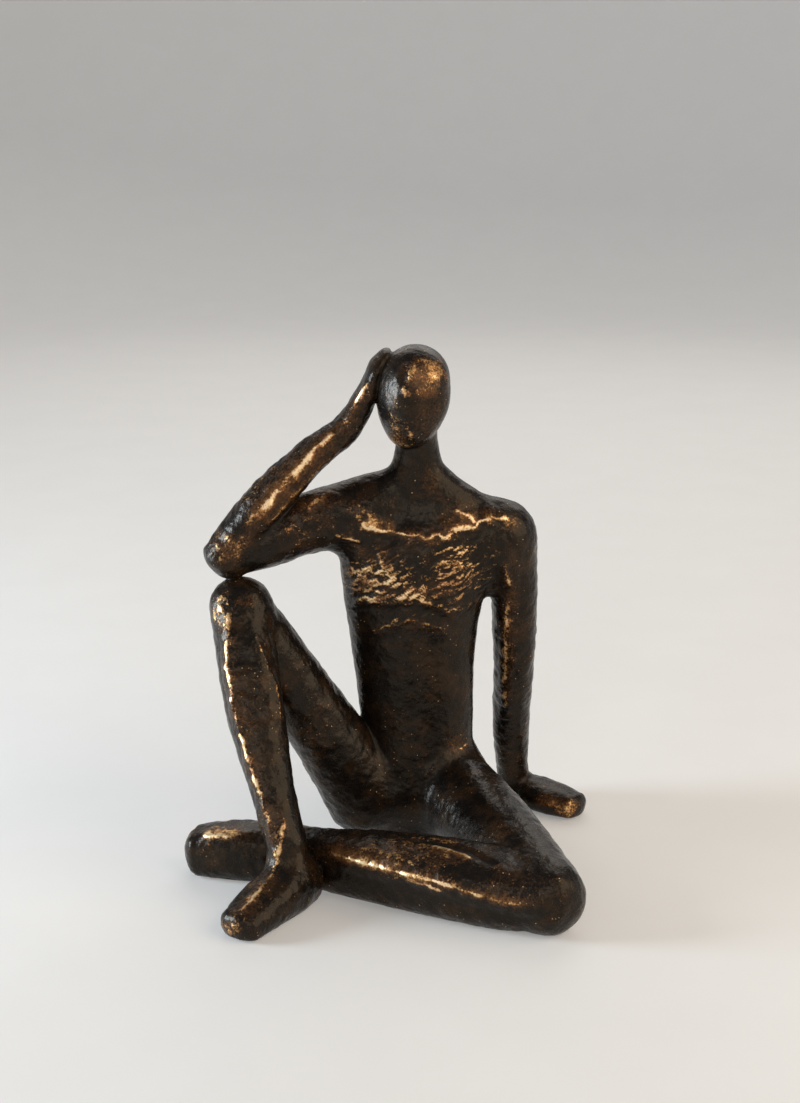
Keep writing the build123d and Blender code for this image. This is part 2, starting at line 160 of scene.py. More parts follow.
limbs["rightFoot"] = dict(
    node="right_lower_leg", side=(0.88, -0.47, 0), domes=(6, 6), square=2.5,
    rows=[
        soleSection((-42, -39), 22, 20.5),
        soleSection(rightInstep, 25, 25),
        soleSection((-59, -62), 21, 26),
        soleSection((-70, -78.5), 15, 22),
    ])

leftHip = (26.5, 47.5, 25)
leftKnee = (76, -72, 0)
leftAnkle = (-37.5, -22.5, 0)
leftKneeMiddle = lying(leftKnee, 35, legFlat)
limbs["leftThigh"] = dict(
    node="left_thigh", side=(0.93, 0.37, 0), domes=(16, 14),
    rows=[
        section(leftHip, 44, 48),
        section(along(leftHip, leftKneeMiddle, 0.48, 2.0, (0.93, 0.37, 0)), 42, 41),
        section(leftKneeMiddle, 32, 35),
    ])
limbs["leftShin"] = dict(
    node="left_lower_leg", side=(0, 0, 1), domes=(6, 8), square=(2.9, 3.0),
    rows=[
        section(leftKneeMiddle, 27, 23),
        legSection(along(leftKnee, leftAnkle, 0.14), 33.5, 33),
        legSection(along(leftKnee, leftAnkle, 0.32), 34.5, 38),
        legSection(along(leftKnee, leftAnkle, 0.78), 31, 31.5),
        legSection(leftAnkle, 28, 26),
        legSection((-56, -17.5), 28, 27),
        legSection((-80, -12.5), 27, 28),
        legSection((-95, -9.5), 23.5, 25),
    ])

rightShoulder = (-19.5, 37, 175)
rightElbow = (-82.6, 20.5, 155.75)
rightWrist = (-20, 31.5, 221.5)
palm = np.array((-9.7, 33.7, 240.5))
forearmBow = dict(bow=4.0, way=(-0.69, 0, 0.72))
limbs["rightUpperArm"] = dict(
    node="right_upper_arm", side=(0.4, 0, 0.9), domes=(26, 6),
    rows=[
        section(rightShoulder, 31, 29),
        section(along(rightShoulder, rightElbow, 0.33, 2.5), 31, 28),
        section(along(rightShoulder, rightElbow, 0.72), 25.2, 24),
        section(along(rightShoulder, rightElbow, 0.98), 19, 18),
    ])
limbs["rightForearm"] = dict(
    node="right_forearm", side=(0.7, 0, -0.7), domes=(8, 6),
    rows=[
        section(rightElbow, 22.5, 23.5),
        section(along(rightElbow, rightWrist, 0.33, **forearmBow), 22.2, 25),
        section(along(rightElbow, rightWrist, 0.72, **forearmBow), 17.4, 20.6),
        section(rightWrist, 14.2, 17),
        section(along(rightWrist, palm, 0.5, 0.5, (0.95, 0, -0.3)), 12.1, 19.4),
        section(palm, 10, 23),
        section(palm + (3.4, 1.0, 9.6), 8, 21),
        section(palm + (5.6, 1.6, 12.6), 7, 18),
    ])

leftShoulder = (57.8, 42.5, 160)
leftElbow = (63.8, 49, 103)
leftPalmHeel = (67, 78)
limbs["leftArm"] = dict(
    node="left_arm", side=(1, 0, 0), domes=(17, 6), square=2.2,
    rows=[
        section(leftShoulder, 33, 31),
        section(along(leftShoulder, leftElbow, 0.36, 2.0, (1, 0, 0)), 26, 28),
        section(leftElbow, 22, 24),
        section((64.6, 70.5, 38), 18.6, 19.6),
        section(lying(leftPalmHeel, 16, soleFlat), 16, 17),
    ])
limbs["leftHand"] = dict(
    node="left_arm", side=(0.58, 0.81, 0), domes=(5, 5),
    rows=[
        soleSection(leftPalmHeel, 16, 19),
        soleSection((77, 71.5), 16.5, 26),
        soleSection((89, 62.5), 15.5, 26),
        soleSection((98, 55.5), 14.5, 19.5),
    ])


def axisOf(limb, spacing=2.0):
    # closely spaced points on the smooth line through a limb's sections
    rows = np.array(limb["rows"], float)
    spans = np.linalg.norm(np.diff(rows[:, :3], axis=0), axis=1)[:, None]
    rates = np.diff(rows, axis=0) / spans
    inner = (rates[:-1] * spans[1:] + rates[1:] * spans[:-1]) / (spans[:-1] + spans[1:])
    slopes = np.vstack([rates[:1], inner, rates[-1:]])
    points = []
    for i, span in enumerate(spans[:, 0]):
        t = np.linspace(0, 1, max(2, int(span / spacing)), endpoint=False)[:, None]
        start = (1 + 2 * t) * (1 - t) ** 2
        bend = span * t * (1 - t) * ((1 - t) * slopes[i] - t * slopes[i + 1])
        points.append(start * rows[i] + (1 - start) * rows[i + 1] + bend)
    points = np.vstack(points + [rows[-1:]])
    middle, half = points[:, :3], points[:, 3:]
    way = np.gradient(middle, axis=0)
    way /= np.linalg.norm(way, axis=1, keepdims=True)
    side = np.array(limb["side"], float)
    side = side - way * (way @ side)[:, None]
    side /= np.linalg.norm(side, axis=1, keepdims=True)
    run = np.concatenate([[0], np.cumsum(np.linalg.norm(np.diff(middle, axis=0), axis=1))])
    square = np.interp(run, run[[0, -1]], np.broadcast_to(limb.get("square", 2.0), 2))
    return dict(
        node=limb["node"], field=levelField if limb.get("level") else limbField,
        domes=limb["domes"], middle=middle, half=half, last=len(run) - 1, step=run[-1] / (len(run) - 1),
        bone=np.hstack([middle, way, side, half, run[:, None], square[:, None]]),
        low=(middle - half.max()).min(0), high=(middle + half.max()).max(0))


def headAxis():
    way = head["axis"] / np.linalg.norm(head["axis"])
    turn = math.radians(head["turn"])
    side = np.array((math.cos(turn), -math.sin(turn), 0))
    side = side - way * (side @ way)
    side /= np.linalg.norm(side)
    return dict(
        node="head", field=headField, way=way, side=side, front=np.cross(side, way),
        low=head["middle"] - head["reach"], high=head["middle"] + head["reach"])


def atPlace(bone, place):
    # rows of the bone at places between its points
    low = np.minimum(place.astype(int), len(bone) - 2)
    share = (place - low)[:, None]
    return bone[low] * (1 - share) + bone[low + 1] * share


tiny = 1e-6
core = 0.3  # share of a section inside which a rough distance will do


def ovalDistance(out, x, y, lean, a, b):
    # signed distance, near enough, of points in oval sections of half sizes a and b
    out = np.sqrt(out) + tiny
    slope = np.sqrt((x / a ** 2) ** 2 + (y / b ** 2) ** 2 + lean ** 2) + tiny
    return np.where(out < core, (out - 1) * np.minimum(a, b), out * (out - 1) / slope)


def levelField(points, axis):
    # distance to an upright limb whose sections lie level, and each point's place along and across it
    z = axis["middle"][:, 2]
    rise = np.clip(points[:, 2], z[0], z[-1])
    over = points[:, 2] - rise
    table = np.hstack([axis["middle"][:, :2], axis["half"]])
    x0, y0, a, b = (np.interp(rise, z, column) for column in table.T)
    dx, dy, da, db = (np.interp(rise, z, np.gradient(column, z)) for column in table.T)
    c = np.where(over < 0, axis["domes"][0], axis["domes"][1])
    x, y = points[:, 0] - x0, points[:, 1] - y0
    out = (x / a) ** 2 + (y / b) ** 2 + (over / c) ** 2
    lean = x * dx / a ** 2 + y * dy / b ** 2 + x ** 2 * da / a ** 3 + y ** 2 * db / b ** 3
    lean = np.where(over == 0, lean, -over / c ** 2)
    return ovalDistance(out, x, y, lean, a, b), np.stack([points[:, 2] - z[0], x, y], 1)


def limbField(points, axis, times=3, slide=0.7):
    # the same for a limb that bends, whose sections lie square to its axis
    middle = axis["middle"].astype(np.float32)
    place = ((middle ** 2).sum(1) / 2 - points.astype(np.float32) @ middle.T).argmin(1).astype(float)
    for _ in range(times):  # slides along the axis until the point lies square to it
        at = atPlace(axis["bone"], place)
        rise = ((points - at[:, :3]) * at[:, 3:6]).sum(1)
        place = np.clip(place + slide * rise / axis["step"], 0, axis["last"])
    at = atPlace(axis["bone"], place)
    way, side = at[:, 3:6], at[:, 6:9]
    a, b, run, p = at[:, 9:].T
    offset = points - at[:, :3]
    rise = (offset * way).sum(1)
    over = np.where(place == 0, np.minimum(rise, 0), np.where(place == axis["last"], np.maximum(rise, 0), 0))
    x = (offset * side).sum(1)
    y = (offset * np.cross(way, side)).sum(1)
    c = np.where(place < 1, axis["domes"][0], axis["domes"][1])
    ring = (np.abs(x / a) ** p + np.abs(y / b) ** p) ** (2 / p)
    distance = ovalDistance(ring + (over / c) ** 2, x, y, over / c ** 2, a, b)
    return distance, np.stack([run + over, x, y], 1)


def headField(points, axis):
    # the same for the egg of the head, which is slimmer towards the chin and the face
    offset = points - head["middle"]
    z, x, y = offset @ axis["way"], offset @ axis["side"], -(offset @ axis["front"])
    girth = 1 + head["taper"] * np.clip(2 * z / head["length"], -head["taperEnd"], head["taperEnd"])
    narrow = 1 - head["keel"] * np.clip(2 * y / head["depth"], -1, 1)
    a, b, c = head["width"] / 2 * girth * narrow, head["depth"] / 2 * girth, head["length"] / 2
    out = (x / a) ** 2 + (y / b) ** 2 + (z / c) ** 2
    return ovalDistance(out, x, y, z / c ** 2, a, b), np.stack([z, x, y], 1)


axes = {name: axisOf(limb) for name, limb in limbs.items()}
axes["head"] = headAxis()
far = 60.0  # distance given where a limb isn't near


def limbFields(points, reach=14.0):
    # distance to every limb, and each point's place on it
    fields, places = {}, {}
    for name, axis in axes.items():
        close = np.flatnonzero(((points > axis["low"] - reach) & (points < axis["high"] + reach)).all(1))
        fields[name] = np.full(len(points), far)
        places[name] = np.zeros((len(points), 3))
        if len(close):
            fields[name][close], places[name][close] = axis["field"](points[close], axis)
    return fields, places


# Where the filled joints run smoothly into each other: middle, reach and depth of the fillet
fillets = dict(
    skull=(skullBase, 20, 4), crotch=((8, 20, 25), 30, 7),
    rightShoulder=(rightShoulder, 46, 18), rightElbow=(rightElbow, 24, 6),
    leftShoulder=(leftShoulder, 46, 20), leftHand=((*leftPalmHeel, 8), 22, 7),
    rightHip=(rightHip, 40, 9), rightKnee=(rightKnee, 34, 9), rightAnkle=((*rightInstep, 16), 32, 12),
    leftHip=(leftHip, 52, 14), leftKnee=(leftKneeMiddle, 36, 9))
filletFade = 1.4  # over 1, so that the middle of the reach has the full depth


def unite(points, first, second, *names, crisp=0.8):
    # the nearer of two forms, with a fillet between them that is deep only at the named joints
    depth = np.full(len(points), crisp)
    for name in names:
        middle, reach, most = fillets[name]
        near = np.clip(filletFade * (1 - np.linalg.norm(points - np.array(middle), axis=1) / reach), 0, 1)
        depth = np.maximum(depth, crisp + (most - crisp) * near * near * (3 - 2 * near))
    overlap = np.maximum(depth - np.abs(first - second), 0) / depth
    return np.minimum(first, second) - overlap * overlap * depth / 4


def inChunks(work, points, size=120000):
    return np.concatenate([work(points[i:i + size]) for i in range(0, len(points), size)])


def figureField(points):
    f, _ = limbFields(points)
    body = unite(points, f["torso"], f["head"], "skull")
    rightArm = unite(points, f["rightUpperArm"], f["rightForearm"], "rightElbow")
    body = unite(points, body, rightArm, "rightShoulder")
    leftArm = unite(points, f["leftArm"], f["leftHand"], "leftHand")
    body = unite(points, body, leftArm, "leftShoulder")
    shin = unite(points, f["rightShin"], f["rightFoot"], "rightAnkle")
    rightLeg = unite(points, f["rightThigh"], shin, "rightKnee")
    leftLeg = unite(points, f["leftThigh"], f["leftShin"], "leftKnee")
    legs = unite(points, rightLeg, leftLeg, "crotch")
    body = unite(points, body, legs, "rightHip", "leftHip", crisp=1.4)
    return np.maximum(body, padTop - points[:, 2])


# Skin: the surface of the united limbs, found on a voxel grid that is fine only near it
skin = dict(voxel=0.8, coarse=4, band=6.0, margin=4.0, relax=5, smooth=0.5, restore=-0.52)


def gridOf(*count):
    return np.stack(np.meshgrid(*[np.arange(n) for n in count], indexing="ij"), -1).reshape(-1, 3)


def voxelSkin():
    voxel, coarse = skin["voxel"], skin["coarse"]
    low, high = boxLow - skin["margin"], boxHigh + skin["margin"]
    count = np.ceil((high - low) / (voxel * coarse)).astype(int) + 1
    wide = gridOf(*count)
    rough = inChunks(figureField, low + wide * voxel * coarse)
    field = rough.reshape(count).astype(np.float32)
    for direction in range(3):
        field = np.repeat(field, coarse, direction)
    near = wide[np.abs(rough) < skin["band"]]
    cells = (near[:, None] * coarse + gridOf(coarse, coarse, coarse)).reshape(-1, 3)
    field[tuple(cells.T)] = inChunks(figureField, low + cells * voxel)
    return field, low


def surfaceNet(field, low):
    # one corner in each voxel that the surface crosses, and one quad on each grid edge that it crosses
    inside = field < 0
    size = np.array(field.shape)
    units = np.eye(3, dtype=int)
    corners = gridOf(2, 2, 2)
    filled = np.zeros(size - 1, np.int8)
    for corner in corners:
        filled += inside[tuple(slice(c, s - 1 + c) for c, s in zip(corner, size))]
    crossed = (filled > 0) & (filled < len(corners))
    index = np.full(crossed.shape, -1, np.int64)
    cells = np.argwhere(crossed)
    index[crossed] = np.arange(len(cells))
    total, hits = np.zeros((len(cells), 3)), np.zeros(len(cells))
    for corner in corners:
        for step in units[corner == 0]:
            here = field[tuple((cells + corner).T)]
            there = field[tuple((cells + corner + step).T)]
            hit = (here < 0) != (there < 0)
            share = here[hit] / (here[hit] - there[hit])
            total[hit] += corner + step * share[:, None]
            hits[hit] += 1
    points = low + (cells + total / hits[:, None]) * skin["voxel"]
    quads = []
    for n in range(3):
        step, p, q = units[n], units[(n + 1) % 3], units[(n + 2) % 3]
        before = inside[tuple(slice(0, s - d) for s, d in zip(size, step))]
        after = inside[tuple(slice(d, None) for d in step)]
        for crossing, turn in ((before & ~after, 1), (~before & after, -1)):
            at = np.argwhere(crossing)
            ring = [index[tuple((at - i * p - j * q).T)] for i, j in ((1, 1), (0, 1), (0, 0), (1, 0))]
            quads.append(np.stack(ring, 1)[:, ::turn])
    return points, np.concatenate(quads)


def edgesOf(quads):
    pairs = np.sort(np.concatenate([quads[:, [i, (i + 1) % 4]] for i in range(4)]), axis=1)
    return np.unique(pairs, axis=0)


def evened(values, edges, times, strength=0.5):
    # each corner's value drawn towards the mean of its neighbours
    count = len(values)
    ends = np.concatenate([edges[:, 0], edges[:, 1]])
    others = np.concatenate([edges[:, 1], edges[:, 0]])
    degree = np.bincount(ends, minlength=count).astype(float)[:, None]
    values = np.array(values, float).reshape(count, -1)
    for _ in range(times):
        sums = np.stack([np.bincount(ends, column[others], count) for column in values.T], 1)
        values = values + strength * (sums / degree - values)
    return values


def normalsOf(points, quads):
    first, second = points[quads[:, 2]] - points[quads[:, 0]], points[quads[:, 3]] - points[quads[:, 1]]
    faces = np.cross(first, second)
    total = np.zeros((len(points), 3))
    for i in range(4):
        total += np.stack([np.bincount(quads[:, i], column, len(points)) for column in faces.T], 1)
    return total / np.maximum(np.linalg.norm(total, axis=1, keepdims=True), tiny)


points, quads = surfaceNet(*voxelSkin())
edges = edgesOf(quads)
for _ in range(skin["relax"]):  # smooths without shrinking
    points = evened(points, edges, 1, skin["smooth"])
    points = evened(points, edges, 1, skin["restore"])
normals = normalsOf(points, quads)
print("skin:", len(points), "corners,", len(quads), "quads")

# Sculpting: ridges, hollows and tool marks, drawn as the camera sees them
camera = dict(place=(4.5, -835.4, 412.5), tilt=73.5, lens=58.75, sensor=36.0, width=800, height=1103)
sight = dict(near=3.0, spare=1.0, depth=6.0)  # how far off a mark the skin is looked for, and how deep


def seen(spots):
    # pixel and distance at which the camera sees points, in its 800 x 1103 picture
    tilt = math.radians(camera["tilt"])
    up = np.array((0, math.cos(tilt), math.sin(tilt)))
    ahead = np.array((0, math.sin(tilt), -math.cos(tilt)))
    offset = spots - np.array(camera["place"])
    away = offset @ ahead
    scale = camera["lens"] / camera["sensor"] * camera["height"] / away
    right = camera["width"] / 2 + offset[:, 0] * scale
    down = camera["height"] / 2 - (offset @ up) * scale
    return np.stack([right, down], 1), away


pixels, away = seen(points)
towards = np.array(camera["place"]) - points
facing = (towards * normals).sum(1) / np.linalg.norm(towards, axis=1)


def onSkin(pixel):
    # nearest corner of the skin that the camera sees at a pixel
    gap = np.linalg.norm(pixels - np.array(pixel), axis=1)
    close = np.flatnonzero((gap < max(sight["near"], gap.min() + sight["spare"])) & (facing > 0))
    front = close[away[close] < away[close].min() + sight["depth"]]
    return front[gap[front].argmin()]


def onBack(spot):
    # hindmost corner of the skin at a place across and up
    gap = np.linalg.norm(points[:, [0, 2]] - np.array(spot), axis=1)
    close = np.flatnonzero(gap < gap.min() + sight["spare"])
    return close[points[close, 1].argmax()]


def smoothLine(spots, times=2):
    for _ in range(times):  # cuts the corners
        cut = np.stack([0.75 * spots[:-1] + 0.25 * spots[1:], 0.25 * spots[:-1] + 0.75 * spots[1:]], 1)
        spots = np.vstack([spots[:1], cut.reshape(-1, 3), spots[-1:]])
    return spots


# Noise: large odd numbers that scramble a grid, and a seed for each kind, so that none repeats another
scramble = dict(cell=np.array((374761393, 668265263, 974634777)), seed=69069, again=1274126177)
seeds = dict(
    streaks=11, strokes=21, strokeBend=23, hatchEdge=24, dabs=31, crumbs=32, grit=33,
    uneven=41, broken=42, ragged=43, rub=51, wash=52, wander=(61, 62, 63))


def lattice(cell, seed):
    # scrambles the corners of a grid into numbers from 0 to 1
    full = 0xffffffff
    bits = (cell @ scramble["cell"] + seed * scramble["seed"]) & full
    bits = ((bits ^ (bits >> 13)) * scramble["again"]) & full
    return (bits ^ (bits >> 16)) / full


def grain(spots, seed):
    # smooth noise from 0 to 1, one wave to a unit
    cell = np.floor(spots).astype(np.int64)
    share = spots - cell
    share = share ** 3 * (share * (share * 6 - 15) + 10)
    total = 0
    for corner in np.ndindex(2, 2, 2):
        weight = np.prod(np.where(np.array(corner) == 1, share, 1 - share), axis=1)
        total = total + weight * lattice(cell + np.array(corner), seed)
    return total


def soft(value, low, high):
    share = np.clip((value - low) / (high - low), 0, 1)
    return share * share * (3 - 2 * share)


def between(low, high, share):
    return low + (high - low) * share


def twoWaves(spots, seed, finer):
    return grain(spots, seed) + 0.5 * grain(spots * finer, seed + 1)


# Each ridge: its line in pixels, or on the back in mm across and up; its height; how far it runs out left and
# right of the line; how far the finish is rubbed off it, and how far that spreads left and right; how far the
# line strays; and whether it is a swelling, which has no ends
ridgePlain = dict(rub=0, spread=(1, 1), stray=0.6, swell=False)
ridges = dict(
    collarbone=dict(
        line=[(350, 519), (371, 527), (389, 533), (406, 538), (427, 539), (450, 535), (473, 527),
              (487, 521), (501, 518), (518, 524)],
        height=1.7, width=(9, 4), rub=0.95, spread=(1.6, 0.8), stray=1.6),
    collarFork=dict(
        line=[(454, 509), (470, 517), (475, 526)], height=0.8, width=(3, 3), rub=0.6, spread=(1.5, 1)),
    breast=dict(
        line=[(347, 599), (370, 602), (389, 598), (415, 599), (435, 607), (455, 612), (466, 606), (475, 590)],
        height=1.2, width=(10, 4.5), rub=0.4, spread=(3, 1), stray=1.6),
    sternum=dict(line=[(411, 545), (413, 570), (415, 597)], height=-1.0, width=(6, 6)),
    ribs=dict(
        line=[(362, 637), (385, 625), (406, 619), (424, 621), (443, 629), (452, 645)],
        height=0.9, width=(5, 8), rub=0.3, spread=(2, 1.5)),
    midline=dict(line=[(412, 640), (413, 680), (414, 730)], height=-0.5, width=(6, 6)),
    leftArm=dict(
        line=[(503, 545), (507, 570), (510, 593), (506, 615), (506, 650), (505, 694), (508, 720)],
        height=1.1, width=(7, 5), rub=0.55, spread=(1.8, 1.2)),
    rightShin=dict(
        line=[(238, 602), (229, 628), (227, 655), (231, 685), (238, 718), (247, 750), (256, 783),
              (265, 805), (270, 822), (271, 838), (267, 856)],
        height=2.0, width=(10, 6), rub=0.66, spread=(2.0, 1.1)),
    rightShinBack=dict(
        line=[(252, 625), (259, 648), (267, 666), (275, 685), (278, 708), (281, 740)],
        height=1.2, width=(5, 8), rub=0.3, spread=(1.5, 1.5)),
    instep=dict(
        line=[(285, 812), (282, 840), (276, 868), (262, 889), (244, 911), (228, 930)],
        height=1.2, width=(6, 6), rub=0.5, spread=(1.5, 3)),
    heel=dict(
        line=[(297, 850), (303, 866), (310, 884)], height=0.7, width=(5, 6), rub=0.2, spread=(1.5, 1.5)),
    forearm=dict(
        line=[(230, 535), (256, 514), (282, 484), (320, 444), (347, 420), (358, 400), (368, 385), (376, 366)],
        height=1.3, width=(7, 6), rub=0.75, spread=(1.0, 1.9)),
    forearmUnder=dict(
        line=[(262, 530), (296, 493), (330, 458), (352, 438)],
        height=0.7, width=(4, 3), rub=0.2, spread=(2, 1)),
    leftShin=dict(
        line=[(316, 850), (361, 861), (402, 872), (443, 881), (484, 895), (522, 905), (558, 899)],
        height=2.8, width=(11, 8), rub=1.0, spread=(0.8, 0.6), stray=0.3),
    leftShinUnder=dict(
        line=[(405, 877), (425, 883), (447, 892)], height=0.7, width=(2.5, 3), rub=0.55),
    leftCalf=dict(
        line=[(416, 840), (453, 845), (472, 853), (492, 863)], height=-1.3, width=(5, 4), swell=True),
    leftCalfLip=dict(
        line=[(430, 846), (455, 851), (474, 861)], height=0.9, width=(2, 3), rub=0.7, spread=(1, 1.5)),
    leftKnee=dict(
        line=[(556, 870), (561, 895), (556, 925)], height=0.9, width=(6, 6), rub=0.25, spread=(2, 2)),
    hipCrease=dict(
        line=[(418, 780), (440, 763), (470, 741)], height=0.9, width=(6, 4), rub=0.4, spread=(3, 1.5)),
    face=dict(
        line=[(418, 362), (408, 385), (404, 403), (407, 420), (411, 435), (410, 450)],
        height=2.6, width=(13, 13), rub=0.12, spread=(2, 2)),
    jawRight=dict(line=[(441, 412), (438, 418), (434, 425)], height=2.2, width=(17, 17), swell=True),
    faceTop=dict(
        line=[(419, 360), (413, 374), (408, 388), (405, 402)],
        height=0.4, width=(3, 4), rub=0.4, spread=(2, 4), stray=1.2),
    brow=dict(
        line=[(408, 396), (420, 390), (434, 386), (444, 376)], height=0.5, width=(8, 8), swell=True),
    armpit=dict(
        line=[(332, 536), (351, 538), (363, 543)], height=0.7, width=(2, 2), rub=0.6, spread=(0.9, 0.9)),
    armTop=dict(
        line=[(303, 512), (318, 500), (334, 491)], height=0.7, width=(5, 4), rub=0.45, spread=(1, 2)),
    leftFootTop=dict(
        line=[(196, 838), (214, 836), (236, 838), (258, 840)],
        height=0.9, width=(6, 6), rub=0.4, spread=(3, 2)),
    spine=dict(back=[(14, 184), (14.5, 160), (12, 110), (12.5, 70), (12, 40)], height=-1.6, width=(6, 6)),
    leftBlade=dict(
        back=[(26, 172), (40, 164), (42, 150), (34, 138)],
        height=1.8, width=(7, 12), rub=0.3, spread=(2.5, 2.5), swell=True, stray=1.6),
    rightBlade=dict(
        back=[(-6, 142), (-12, 152), (-9, 165), (4, 173)],
        height=1.8, width=(7, 12), rub=0.3, spread=(2.5, 2.5), swell=True, stray=1.6),
    loin=dict(
        back=[(-12, 62), (2, 50), (12, 44), (24, 50), (38, 60)],
        height=0.9, width=(6, 8), rub=0.3, spread=(2, 2)),
)

# Where the finish is worn over an area, on the knee's left side partly a painted highlight: middle and half
# size in pixels, how far rubbed, how far washed
patches = dict(
    forehead=((425, 374), (21, 20), 0.39, 0.75),
    temple=((436, 372), (12, 15), 0.16, 0.5),
    cheek=((428, 418), (18, 34), 0.0, 0.35),
    jaw=((398, 436), (12, 16), 0.20, 0.3),
    headSide=((394, 410), (9, 30), 0.32, 0.3),
    neck=((432, 478), (14, 22), 0.0, 0.4),
    neckFoot=((394, 503), (8, 13), 0.36, 0.2),
    collarLeft=((372, 526), (28, 14), 0.50, 0.55),
    collarTop=((362, 506), (20, 17), 0.24, 0.25),
    collarRight=((464, 513), (26, 16), 0.26, 0.4),
    leftShoulder=((512, 523), (16, 12), 0.42, 0.5),
    chestLeft=((374, 575), (30, 32), 0.38, 0.6),
    chestMiddle=((415, 590), (30, 22), 0.42, 0.5),
    chestRight=((454, 570), (30, 42), 0.47, 0.55),
    ribs=((405, 628), (40, 14), 0.20, 0.25),
    forearmFront=((290, 490), (70, 56), 0.20, 0.38),
    upperArm=((322, 520), (40, 28), 0.10, 0.14),
    elbow=((228, 548), (24, 20), 0.42, 0.6),
    # rub on the left side of the right knee: partly gold wear, partly a painted highlight
    kneeSideRubAndHighlight=((222, 614), (15, 28), 0.54, 0.4),
    kneeTop=((247, 602), (14, 10), 0.28, 0.5),
    rightShinFront=((255, 720), (18, 80), 0.10, 0.14),
    rightThigh=((318, 725), (24, 44), 0.18, 0.22),
    rightFoot=((256, 888), (30, 46), 0.20, 0.2),
    toes=((228, 927), (14, 9), 0.40, 0.6),
    leftFoot=((224, 832), (30, 11), 0.56, 0.5),
    leftFootEnd=((206, 852), (14, 16), 0.26, 0.2),
    leftHand=((566, 808), (18, 11), 0.42, 0.8),
    leftWrist=((545, 800), (16, 10), 0.20, 0.5),
    leftKnee=((512, 884), (44, 26), 0.20, 0.3),
    leftThigh=((500, 832), (22, 20), 0.24, 0.3),
    leftShinTop=((400, 852), (100, 20), 0.18, 0.5),
    hip=((458, 745), (18, 15), 0.30, 0.5),
    leftForearm=((512, 640), (14, 60), 0.20, 0.12),
)

# What all ridges share: how uneven they are, how sharp, over which share they end, where the rubbing on them
# breaks off, and how far the wash beside them goes
ridgeMarks = dict(
    uneven=(0.75, 1.25), unevenSize=3.5, sharp=1.2, ends=0.18,
    broken=(0.25, 1.0), brokenSize=6.5, brokenEdge=(0.25, 0.65), wash=0.6, washSpread=2.5, washMore=1.0)

# What all patches share: how ragged they are, how far the skin has to face the camera, how deep they reach
# and where they fade
patchMarks = dict(ragged=(0.65, 1.35), raggedSize=5.0, facing=(0.05, 0.35), depth=30.0, fade=(0.3, 1.15))

# Clay: depth and wave length of its unevenness, in mm; where streaks begin and end, and how much finer their
# second wave is; how neighbouring limbs share their marks; and how rough each limb is
clay = dict(
    dabs=0.34, dabSize=9.0, crumbs=0.35, crumbSize=4.2, grit=0.15, gritSize=2.2, wanderSize=4.5,
    streaks=0.12, streakLength=9.0, streakWidth=4.5, streakEdge=(0.45, 1.05), finer=2.1,
    fleck=1.3, blend=2.5, least=0.02, apart=40)
roughness = dict(head=0.25, torso=0.45, leftThigh=0.6, rightForearm=0.9, leftHand=0.7, rightFoot=0.8)
plainRoughness = 0.85

# Slanting strokes of the tool on chest and back, between two heights, where the skin is turned that way; they
# are partly sunk, and hide most of the clay's own streaks
hatching = dict(
    depth=0.75, length=5.0, width=1.9, layer=20.0, slant=28.0, bend=4.0, bendSize=11.0, fleck=3.2,
    bottom=(118, 130), top=(156, 168), edge=12.0, edgeSize=12.0, turned=(0.1, 0.6),
    strokeEdge=(0.5, 1.05), sunk=0.4, finer=2.3, least=0.3, hides=0.8)

# Wear of the finish: how far it is rubbed and washed all over, and more so on the far side; how far corners
# stand out from near or further neighbours, in mm, where wear is full; and what crests add
wear = dict(
    rub=0.20, rubSize=24.0, rubEdge=(0.55, 0.8), wash=0.12, washSize=30.0, washEdge=(0.45, 0.8),
    behind=(-0.1, 0.3), rubBehind=0.14, edgeBehind=0.08, washBehind=0.25,
    near=4, further=24, fineCrest=0.10, broadCrest=0.40, fineShare=0.55,
    fineRub=0.08, plainRub=0.95, broadWash=0.30, plainWash=0.8, gain=0.4, crestRub=0.32, mostRub=1.3)


def nearLine(line, reach, stray):
    # skin near a line: its corners, how far off and on which side, and how far along
    line = smoothLine(line)
    chosen = np.flatnonzero(((points > line.min(0) - reach) & (points < line.max(0) + reach)).all(1))
    starts, steps = line[:-1], np.diff(line, axis=0)
    lengths = np.linalg.norm(steps, axis=1)
    waves = points[chosen] / clay["wanderSize"]
    wander = np.stack([grain(waves, seed) for seed in seeds["wander"]], 1) - 0.5
    offset = (points[chosen] + 2 * stray * wander)[:, None] - starts
    share = np.clip((offset * steps).sum(2) / lengths ** 2, 0, 1)
    gap = np.linalg.norm(offset - share[..., None] * steps, axis=2)
    best = gap.argmin(1)
    row = np.arange(len(chosen))
    gap, share = gap[row, best], share[row, best]
    off = offset[row, best] - share[:, None] * steps[best]
    side = np.sign((np.cross(steps[best], normals[chosen]) * off).sum(1))
    before = np.concatenate([[0], np.cumsum(lengths)])[best]
    return chosen, gap, side, (before + share * lengths[best]) / lengths.sum()


def hatchMarks(share):
    # where the strokes are, how high they stand, and each corner's place along and across them
    slant = math.radians(hatching["slant"])
    length = points[:, 0] * math.cos(slant) + points[:, 2] * math.sin(slant)
    width = points[:, 2] * math.cos(slant) - points[:, 0] * math.sin(slant)
    width = width + hatching["bend"] * grain(points / hatching["bendSize"], seeds["strokeBend"])
    wavy = grain(points / hatching["edgeSize"], seeds["hatchEdge"]) - 0.5
    level = points[:, 2] + hatching["edge"] * wavy
    there = soft(level, *hatching["bottom"]) * (1 - soft(level, *hatching["top"]))
    there = there * soft(np.abs(normals[:, 1]), *hatching["turned"]) * share
    layer = points[:, 1] / hatching["layer"]
    spots = np.stack([length / hatching["length"], width / hatching["width"], layer], 1)
    strokes = soft(twoWaves(spots, seeds["strokes"], hatching["finer"]), *hatching["strokeEdge"])
    return there, strokes - hatching["sunk"], np.stack([length / hatching["fleck"], width, points[:, 1]], 1)


